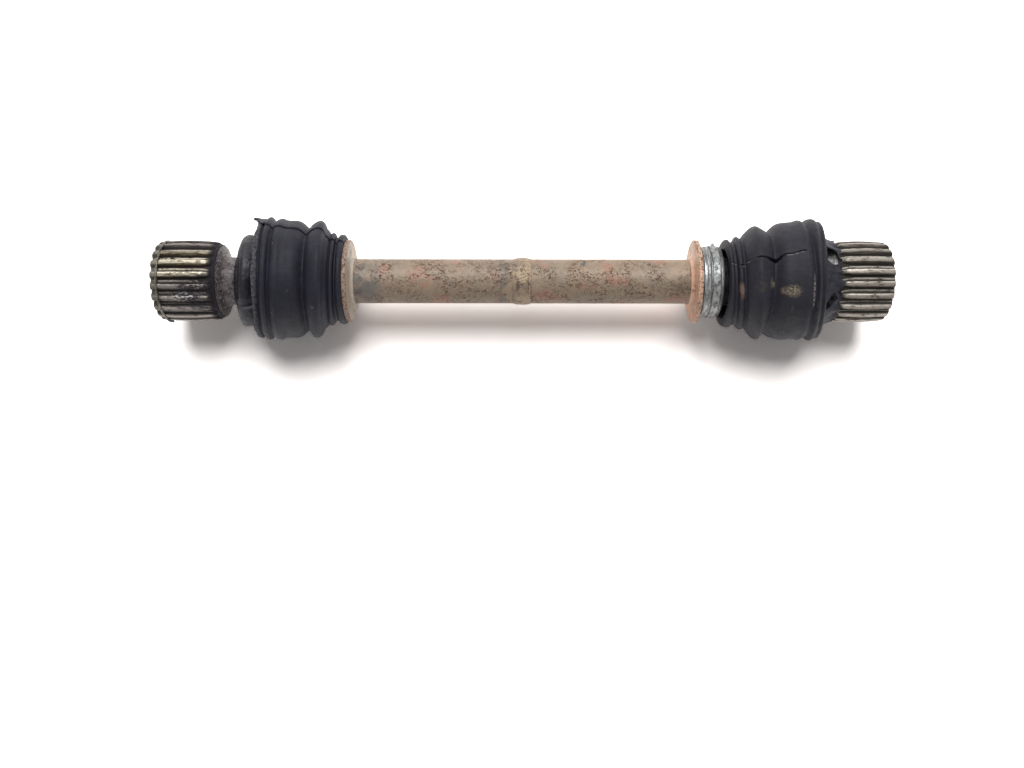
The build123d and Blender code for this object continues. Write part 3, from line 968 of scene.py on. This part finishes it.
def clamp_band():
    """The thin band left on the right collar, with a torn spur at the top and a lump at the bottom."""
    low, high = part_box("clamp_band")[0][0] / MM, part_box("clamp_band")[1][0] / MM
    outline = softened(
        [
            (low + 0.1, COLLAR_RADIUS - 0.3, 0),
            (low + 0.1, COLLAR_RADIUS + 0.75, 0.3),
            ((low + high) / 2 - 0.8, COLLAR_RADIUS + 0.6, 0.4),
            ((low + high) / 2 + 0.8, COLLAR_RADIUS + 0.6, 0.4),
            (high - 0.1, COLLAR_RADIUS + 0.85, 0.3),
            (high - 0.1, COLLAR_RADIUS - 0.3, 0),
        ]
    )

    def form(distance, radius, angle):
        """Raise the spur and the lump, and dent the edges."""
        turn = angle * 180 / pi
        if radius > COLLAR_RADIUS:
            spur = bell(turn_from(turn, SPUR_ANGLE), 3.2) * bell(distance - high + 1.6, 1.4)
            lump = bell(turn_from(turn, LUMP_ANGLE), 5) * bell(distance - low - 1.2, 1.8)
            radius += 2.4 * spur + 1.3 * lump + 0.25 * rough(at(distance, radius, angle, RIGHT), 6, 21)
        return distance + 0.25 * rough((cos(angle) * 0.03, sin(angle) * 0.03, 0), 7, 22), radius, angle

    angles = angles_round(1.5, (SPUR_ANGLE, LUMP_ANGLE), 0.6, 12)
    piece = turned("torn_band", outline, RIGHT, angles, form, [band_finish("band_metal")])
    return kept(piece, "band_steel", "clamp_band")


def tube_along(name, path, radius, materials, sides=12):
    """A round bar along a path in metres."""
    points = []
    for index, spot in enumerate(path):
        ahead = (path[min(index + 1, len(path) - 1)] - path[max(index - 1, 0)]).normalized()
        across = Vector((1, 0, 0))
        up = ahead.cross(across).normalized()
        for step in range(sides):
            turn = 2 * pi * step / sides
            points.append(spot + (across * cos(turn) + up * sin(turn)) * radius * MM)
    return finished(name, mesh_from(name, points, bar_faces(len(path), sides)), materials)


def snap_ring():
    """The wire ring, with its end sprung out past the teeth."""
    path = []
    steps = 160
    for step in range(steps + 1):
        angle = radians(RING_START + RING_ARC * step / steps)
        spread = 0.9 * ease(step, steps * 0.9, steps)
        spot = at(RING_AT + 0.25 * sin(3 * angle), RING_RADIUS + spread, angle, LEFT)
        path.append(spot)
    ahead = (path[-1] - path[-2]).normalized()
    out = at(0, 1, radians(RING_START + RING_ARC), LEFT).normalized()
    for step in range(1, 9):
        reach = RING_TAIL * step / 8
        path.append(path[steps] + ahead * reach * MM + out * 0.02 * reach**2 * MM)
    wire = tube_along("wire_ring", path, WIRE_RADIUS, [wire_finish("spring_wire")])
    return kept(wire, "ring_wire", "snap_ring")


# The rubber boots


LEFT_OUTSIDE = (
    (139.9, 32.6), (140.8, 34.4), (142.6, 35.3), (145.2, 34.6), (147.2, 31.8), (148.6, 33.2), (150.0, 35.6),
    (151.6, 36.5), (153.0, 36.1), (153.8, 35.6), (154.8, 37.2), (156.0, 38.6), (157.2, 40.0), (159.0, 43.9),
    (161.0, 45.7), (163.2, 46.2), (165.4, 45.5), (167.6, 43.4), (169.4, 40.6), (170.4, 40.1), (171.8, 41.1),
    (174.4, 43.6), (177.4, 45.4), (180.6, 46.1), (185.6, 46.1), (188.6, 46.6), (190.8, 47.5), (192.8, 47.8),
    (195.0, 47.2), (196.8, 46.1), (197.8, 45.6), (198.8, 46.4), (200.0, 48.0), (201.4, 48.6), (203.0, 48.1),
    (204.2, 46.5), (204.9, 45.0), (205.7, 45.0), (206.4, 46.0), (207.4, 46.9), (208.8, 47.0), (210.3, 46.6),
)
RIGHT_OUTSIDE = (
    (160.2, 32.2), (160.9, 33.9), (162.6, 35.1), (165.0, 34.8), (167.4, 31.8), (169.0, 33.0), (171.2, 36.4),
    (173.4, 37.1), (175.0, 36.0), (176.2, 35.8), (177.4, 37.4), (179.8, 40.3), (183.4, 43.8), (186.4, 45.3),
    (188.4, 44.8), (190.6, 42.6),
    (192.6, 40.5), (193.8, 40.2), (196.0, 41.6), (199.4, 44.2), (203.4, 46.0), (208.0, 46.6), (214.0, 46.7),
    (217.4, 47.3), (219.6, 47.8), (222.0, 47.2), (223.8, 46.2), (224.8, 45.7), (225.8, 46.5), (228.0, 48.1),
    (230.6, 48.6), (232.4, 47.9), (233.6, 46.5), (234.4, 45.9), (235.4, 46.4), (236.4, 46.4), (237.2, 45.6),
)
BOOT_WALL = 2.8

# How each boot leans at places along it: the slope that draws in its top, and the one that draws in its front
LEAN = {
    LEFT: (
        (140, (0.01, 0)), (144, (0.026, 0)), (151, (0.105, -0.015)), (156, (0.12, -0.018)),
        (163.4, (0.14, -0.02)), (170.4, (0.055, -0.008)), (180, (0.06, -0.008)), (190, (0.09, -0.013)),
        (203, (0.102, -0.014)),
    ),
    RIGHT: (
        (160, (-0.01, 0)), (163, (0.05, -0.02)), (173, (0.126, -0.04)), (187, (0.115, -0.012)),
        (193, (0.01, 0.03)), (205, (0.05, 0)), (218, (0.055, -0.02)), (225, (0.057, -0.029)),
        (233, (0.135, 0.015)),
    ),
}

# How far each boot has drifted towards +Y, at places along it
DRIFT = {
    LEFT: ((140, 0.8), (163, 0.8), (195, 0.9), (203, 1.5)),
    RIGHT: ((160, -1.7), (188, -1.2), (205, 0.2), (229, 1.4)),
}
SEAM_ANGLE = -48.0
SEAM_HEIGHT = 1.0

# The left boot's loose flap: its wall, and the place along X in metres whose finish it has
FLAP_WALL = 1.5
FLAP_STATION = -0.2085

# The right boot's crack, as an angle at each place along it, and its slits: place, angle, width and length
CRACK = ((184, -13.8), (190, -14.2), (195, -12.8), (200, -14.5), (206, -14.8), (218.5, -16.8))
SLITS = ((165, -15.3, 0.7, 2.0), (173.6, -10.2, 0.8, 2.2), (178.8, -13.7, 0.6, 1.4))


def boot_outline(outside):
    """A closed outline: the outside, the lip's edge and an inside that follows it more gently."""
    outer = smooth(outside)
    inner = [(place, radius - BOOT_WALL) for place, radius in outside[::2] if radius > 35]
    inner = [(outside[-1][0] - 0.4, outside[-1][1] - BOOT_WALL + 0.4), *reversed(smooth(inner, 2)[:-2])]
    cuff = [(outside[0][0] + 11, COLLAR_RADIUS), (outside[0][0], COLLAR_RADIUS)]
    return outer + inner + cuff


def settled(distance, radius, angle, side):
    """A place on a boot as it lies: leaned, drifted and flat where it rests on the ground."""
    top, front = between(distance, LEAN[side])
    place = distance - radius * (top * cos(angle) + front * sin(angle))
    y = -radius * sin(angle) + between(distance, DRIFT[side])
    z = max(radius * cos(angle), GROUND)
    return place, hypot(y, z), atan2(-y, z)


def left_form(distance, radius, angle):
    """Seam, torn lip and unevenness of the left boot."""
    spot = at(distance, radius, angle, LEFT)
    turn, place = angle * 180 / pi, distance
    wander = 1.4 * rough((distance * MM, 0, 0), 9, 5)
    outward = radius > 36 or distance < 156
    if outward and distance < 203:
        past = -turn_from(turn, SEAM_ANGLE + wander)
        radius += SEAM_HEIGHT * ease(past, -0.25, 0.25) * (1 - ease(past, 24, 50))
        radius -= 0.9 * bell(past + 0.7, 0.5)
    if distance > 206.5:
        ragged = 0.5 + 0.5 * rough((cos(angle) * 0.012, sin(angle) * 0.012, 0), 3.2, 6)
        place = 206.5 + (distance - 206.5) * (0.6 + 0.6 * ragged)
        radius += 0.6 * rough(spot, 3, 7)
    radius += 0.35 * rough(spot, 22, 8) + 0.12 * rough(spot, 5, 9)
    return settled(place, radius, angle, LEFT)


def right_form(distance, radius, angle):
    """Crack, slits and unevenness of the right boot, with painted highlights along one lip of the crack and
    beside each slit, given as wear.
    """
    spot = at(distance, radius, angle, RIGHT)
    turn = turn_from(angle * 180 / pi, 0)
    past = turn - between(distance, CRACK) - 0.8 * rough((distance * MM, 0, 0), 4, 11)
    depth = ease(distance, 182, 185) * (1 - ease(distance, 217, 220))
    hole = bell(distance - 195, 4.6, 4)
    # Painted highlight, in broken lengths, along the crack's lit lip.
    lit = ease(rough((distance * MM, 0, 0), 5, 23) + 0.8 * ease(distance, 204, 209), 0.25, 0.5)
    wear = depth * lit * bell(past - 1.0 - 1.6 * hole, 0.6)
    radius -= 0.9 * depth * bell(past, 0.45) + 4.5 * hole * bell(past - 0.6, 1.9, 4)
    radius += 0.5 * depth * bell(past + 1.3, 1.0)
    for place, centre, width, length in SLITS:
        slit = bell(distance - place, length, 4)
        radius -= 0.9 * slit * bell(turn - centre, width)
        # A painted highlight beside each slit.
        wear = max(wear, 0.8 * slit * bell(turn - centre - 1.2, 0.7))
    radius += 0.35 * rough(spot, 22, 12) + 0.12 * rough(spot, 5, 13)
    return *settled(distance, radius, angle, RIGHT), wear


def flap(materials):
    """The loose tongue of rubber torn from the left lip, with a frayed tip."""
    points, faces = [], []
    rows, columns = 22, 30
    for row in range(rows + 1):
        reach = row / rows
        for column in range(columns + 1):
            share = column / columns
            angle = -100 + 44 * share + 2 * reach * (share - 0.2)
            longest = 16.5 - 9 * max(0, share - 0.35) / 0.65 - 5 * max(0, 0.3 - share)
            fray = 2.6 * rough((share * 0.02, 0.002, 0), 1.0, 14) * reach**3
            distance = 200 + longest * reach + fray
            radius = 47.4 + 2.0 * reach**1.3 * (1 - 0.5 * share)
            radius += 0.4 * rough((reach * 0.01, share * 0.02, 0), 3, 15)
            points.append(at(*settled(distance, radius, radians(angle), LEFT), LEFT))
    width = columns + 1
    for row in range(rows):
        for column in range(columns):
            here = row * width + column
            faces.append((here, here + 1, here + width + 1, here + width))
    mesh = marked(mesh_from("flap", points, faces), [FLAP_STATION] * len(points), [0.0] * len(points))
    return thickened(finished("flap", mesh, materials), FLAP_WALL)


def left_boot():
    """The left boot, with its flap."""
    finish, angles = left_boot_finish("left_rubber"), angles_round(0.9, (SEAM_ANGLE,))
    shell = turned("left_boot_shell", boot_outline(LEFT_OUTSIDE), LEFT, angles, left_form, [finish], 60)
    piece = joined("left_gaiter", [shell, flap([finish])])
    return kept(piece, "left_boot_rubber", "left_boot")


def right_boot():
    """The right boot."""
    finish, angles = right_boot_finish("right_rubber"), angles_round(0.9, (-12,), 0.18, 8)
    piece = turned("right_gaiter", boot_outline(RIGHT_OUTSIDE), RIGHT, angles, right_form, [finish], 60)
    return kept(piece, "right_boot_rubber", "right_boot")


# The inner seals


LEFT_SEAL_LINE = (
    (202, 44.2), (204.5, 43), (205.5, 40), (206.5, 36.8), (208.5, 34.6), (211.5, 34.4), (215, 35.8),
    (218.5, 36.8), (221.6, 36.0), (223.8, 33.2), (225.4, 28.6), (226.6, 24.0), (227.6, 20.8), (228.4, 19.4),
)
RIGHT_SEAL_LINE = (
    (228, 44.0), (231, 43.2), (233, 41.4), (235.5, 38.8),
    (238.5, 36.0), (241.5, 33.6), (244.0, 31.9), (246.2, 31.4),
)
SEAL_WALL = {LEFT: 2.0, RIGHT: 1.4}


def left_seal_form(distance, radius, angle):
    """The seal sags between an upper and a lower lobe, whose upper edge stands proud."""
    turn = turn_from(angle * 180 / pi, 0)
    spot = at(distance, radius, angle, LEFT)
    free = ease(radius, 21, 27) * ease(distance, 206, 210)
    sag = ease(turn, -44, -20) * (1 - ease(turn + 0.8 * rough(spot, 6, 24), 47.5, 49.5))
    radius -= 2.6 * sag * free
    radius += (0.6 * rough(spot, 14, 16) + 0.3 * rough(spot, 5, 17)) * free
    return settled(min(distance, 204), radius, angle, LEFT)[0] + max(distance - 204, 0), radius, angle


def left_seal():
    """The bulging seal at the left boot's mouth."""
    line, finish = smooth(LEFT_SEAL_LINE), left_seal_finish("left_seal_black")
    angles = angles_round(1.2, (48,), 0.3, 4)
    piece = skin("left_inner_seal", line, LEFT, angles, left_seal_form, finish)
    return kept(piece, "left_seal_rubber", "left_seal")


def leaf(distance, angle, place, centre, length, width, slant):
    """True inside a leaf-shaped tear at a place and angle; slant leans it along the shaft."""
    across = turn_from(angle, centre)
    along = distance - place - slant * across
    return (along / length) ** 2 + (across / width) ** 2 < 1


def torn(distance, angle):
    """Where the right seal is torn open."""
    upper = leaf(distance, angle, 240.5, -24.5, 5.2, 13, 0.1)
    lower = leaf(distance, angle, 240.0, 38, 2.8, 11, -0.2)
    return upper or lower


def right_seal_form(distance, radius, angle):
    """The seal's ragged edge reaches over the teeth in points."""
    turn = angle * 180 / pi
    spot = at(distance, radius, angle, RIGHT)
    far = ease(distance, 238, 246.2)
    points = abs((turn / 9.0) % 2 - 1) + 0.6 * rough((cos(angle) * 0.02, sin(angle) * 0.02, 0), 5, 25)
    short = ease(turn, -12, -5) * (1 - ease(turn, 0, 9))
    tip = bell(turn - 13, 4)
    place = distance + far * ((2.6 * points - 0.9) * (1 - short) - 1.6 * short + 3.0 * tip)
    radius += 0.35 * rough(spot, 9, 18) + 0.2 * rough(spot, 4, 19) + 0.9 * far * points
    near = 1 - ease(distance, 232, 246)
    lean = settled(distance, radius, angle, RIGHT)[0] - distance
    return place + lean * near, radius, angle


def right_seal():
    """The cone-shaped seal pushed against the right hub, torn at two places."""
    line, finish = smooth(RIGHT_SEAL_LINE, 6), right_seal_finish("right_seal_black")
    piece = skin("right_inner_seal", line, RIGHT, angles_round(0.8), right_seal_form, finish, torn)
    return kept(piece, "right_seal_rubber", "right_seal")


# Floor, light and camera

FLOOR_REACH = 3.0
FLOOR_LIT = (0.9, 0.9, 0.9, 1)
FLOOR_SEEN = (2.2, 2.11, 2.07, 1)
SKY = 0.14

# Each light's name, strength, width and tilt in degrees
LIGHTS = (("window", 2.42, 38, -28.5), ("far_wall", 0.4, 70, -58))


def shown(nodes):
    """1 for what the camera sees, also in a reflection or through glass, and 0 for what lights the shaft."""
    rays = nodes.node("LightPath").outputs
    return nodes.either(*(rays[f"Is {kind} Ray"] for kind in ("Camera", "Glossy", "Transmission")))


def floor():
    """A plain white floor that keeps the shadow. To the camera and in reflections it is overexposed."""
    corners = [(-1, -1), (1, -1), (1, 1), (-1, 1)]
    points = [(FLOOR_REACH * x, FLOOR_REACH * y, cad_box[0][2]) for x, y in corners]
    mesh = mesh_from("floor", points, [(0, 1, 2, 3)])
    ground = placed("floor", mesh)
    material = bpy.data.materials.new("white_floor")
    material.use_nodes = True
    nodes = Nodes(material.node_tree)
    nodes.tree.nodes.clear()
    lit = nodes.node("BsdfDiffuse", nodes.mix(shown(nodes), FLOOR_LIT, FLOOR_SEEN))
    nodes.node("OutputMaterial", lit.outputs[0])
    mesh.materials.append(material)


def light():
    """A large soft light from behind and above, a weak and wide one from behind, and a faint even sky."""
    for name, energy, width, tilt in LIGHTS:
        sun = bpy.data.lights.new(name, "SUN")
        sun.energy = energy
        sun.angle = radians(width)
        placed(name, sun).rotation_euler = (radians(tilt), 0, 0)
    world = bpy.context.scene.world or bpy.data.worlds.new("sky")
    bpy.context.scene.world = world
    world.use_nodes = True
    nodes = Nodes(world.node_tree)
    strength = nodes.blend(shown(nodes), SKY, 1.0)
    nodes.set(nodes.tree.nodes["Background"], {"Color": (1, 1, 1, 1), "Strength": strength})


def camera():
    """The photograph's viewpoint: almost straight down, from a little to the front."""
    data = bpy.data.cameras.new("camera")
    data.sensor_width = SENSOR_WIDTH
    data.lens = FOCAL_PIXELS / IMAGE_WIDTH * SENSOR_WIDTH
    data.clip_start = 0.05
    view = placed("camera", data)
    view.location = Vector(CAMERA_PLACE) * MM
    view.rotation_euler = [radians(angle) for angle in CAMERA_LEAN]
    bpy.context.scene.camera = view


teeth_tree, teeth_inputs = ring_of_teeth_tree()
for half in (LEFT, RIGHT):
    half_shaft(half, teeth_tree, teeth_inputs)
weld()
snap_ring()
left_boot()
right_boot()
left_seal()
right_seal()
clamp_band()
floor()
light()
camera()
bpy.context.scene.view_settings.view_transform = "Standard"
